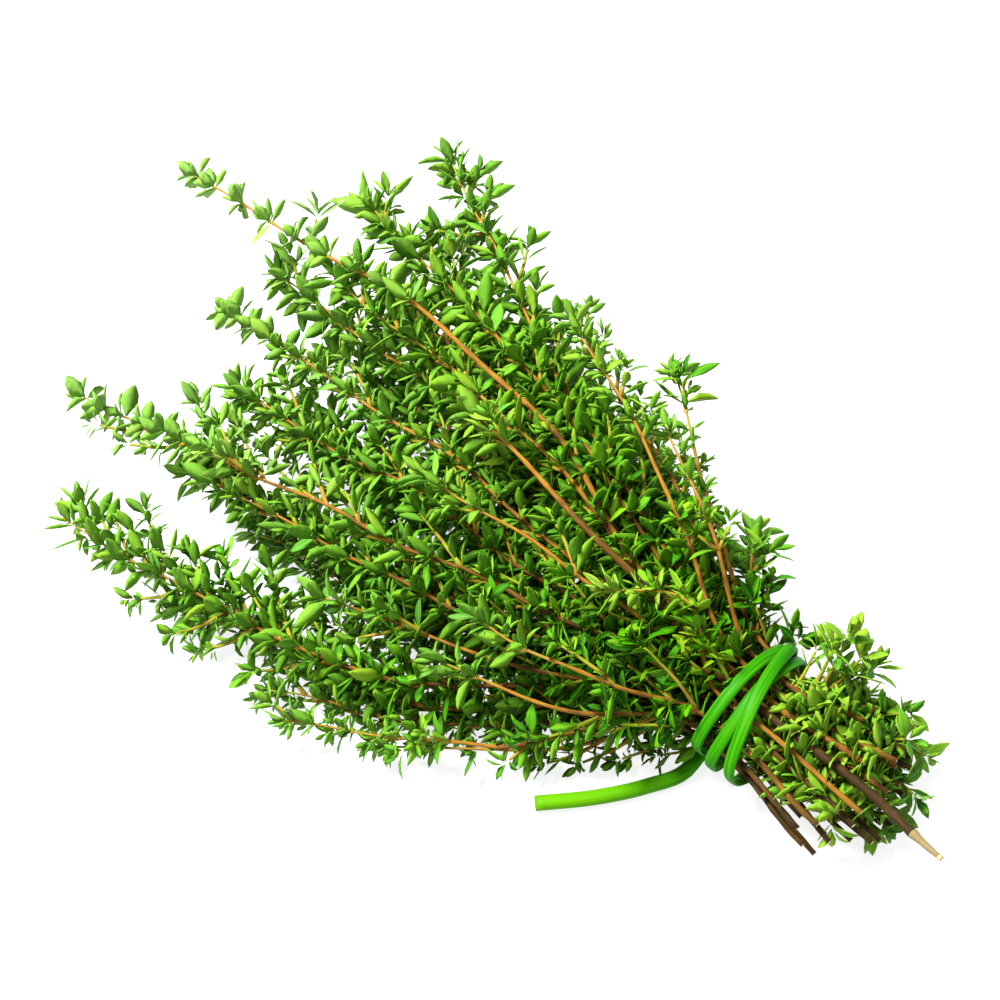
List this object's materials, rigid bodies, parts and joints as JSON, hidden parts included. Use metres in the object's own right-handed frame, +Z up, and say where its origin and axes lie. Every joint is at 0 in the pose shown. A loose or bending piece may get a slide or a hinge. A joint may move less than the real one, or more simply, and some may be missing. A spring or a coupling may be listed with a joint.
{
  "type": "thyme bundle",
  "caption": "Fresh thyme sprigs tied near their cut ends with a green band that has one free end, fanned out and lying flat on a surface.",
  "frame": {"origin": "on the resting surface, under the middle of the bundle's box without the tie's free end", "axes": "+X from the leafy tips to the cut ends, +Z up from the surface the bundle lies on, +Y across the fan"},
  "size_m": [0.2098, 0.1196, 0.05],
  "materials": {
    "thyme_leaf": "soft satin green leaf on a thin square stem",
    "thyme_stem": "matt orange-brown bark, greener towards the tips",
    "tie": "smooth satin bright green"
  },
  "bodies": {
    "root": {"bottom_sprig_1": "thyme_leaf", "bottom_sprig_2": "thyme_leaf", "bottom_sprig_3": "thyme_leaf", "bottom_sprig_4": "thyme_leaf", "low_sprig_1": "thyme_leaf", "low_sprig_2": "thyme_leaf", "low_sprig_3": "thyme_leaf", "low_sprig_4": "thyme_leaf", "low_sprig_5": "thyme_leaf", "low_sprig_6": "thyme_leaf", "low_sprig_7": "thyme_leaf", "inner_sprig_1": "thyme_leaf", "inner_sprig_2": "thyme_leaf", "inner_sprig_3": "thyme_leaf", "inner_sprig_4": "thyme_leaf", "inner_sprig_5": "thyme_leaf", "inner_sprig_6": "thyme_leaf", "inner_sprig_7": "thyme_leaf", "inner_sprig_8": "thyme_leaf", "inner_sprig_9": "thyme_leaf", "outer_sprig_1": "thyme_leaf", "outer_sprig_2": "thyme_leaf", "outer_sprig_3": "thyme_leaf", "outer_sprig_4": "thyme_leaf", "outer_sprig_5": "thyme_leaf", "outer_sprig_6": "thyme_leaf", "outer_sprig_7": "thyme_leaf", "outer_sprig_8": "thyme_leaf", "outer_sprig_9": "thyme_leaf", "high_sprig_1": "thyme_leaf", "high_sprig_2": "thyme_leaf", "high_sprig_3": "thyme_leaf", "high_sprig_4": "thyme_leaf", "high_sprig_5": "thyme_leaf", "high_sprig_6": "thyme_leaf", "high_sprig_7": "thyme_leaf", "top_sprig_1": "thyme_leaf", "top_sprig_2": "thyme_leaf", "top_sprig_3": "thyme_leaf", "top_sprig_4": "thyme_leaf", "top_sprig_5": "thyme_leaf", "tie_band": "tie", "tie_tail": "tie"}
  },
  "joints": []
}
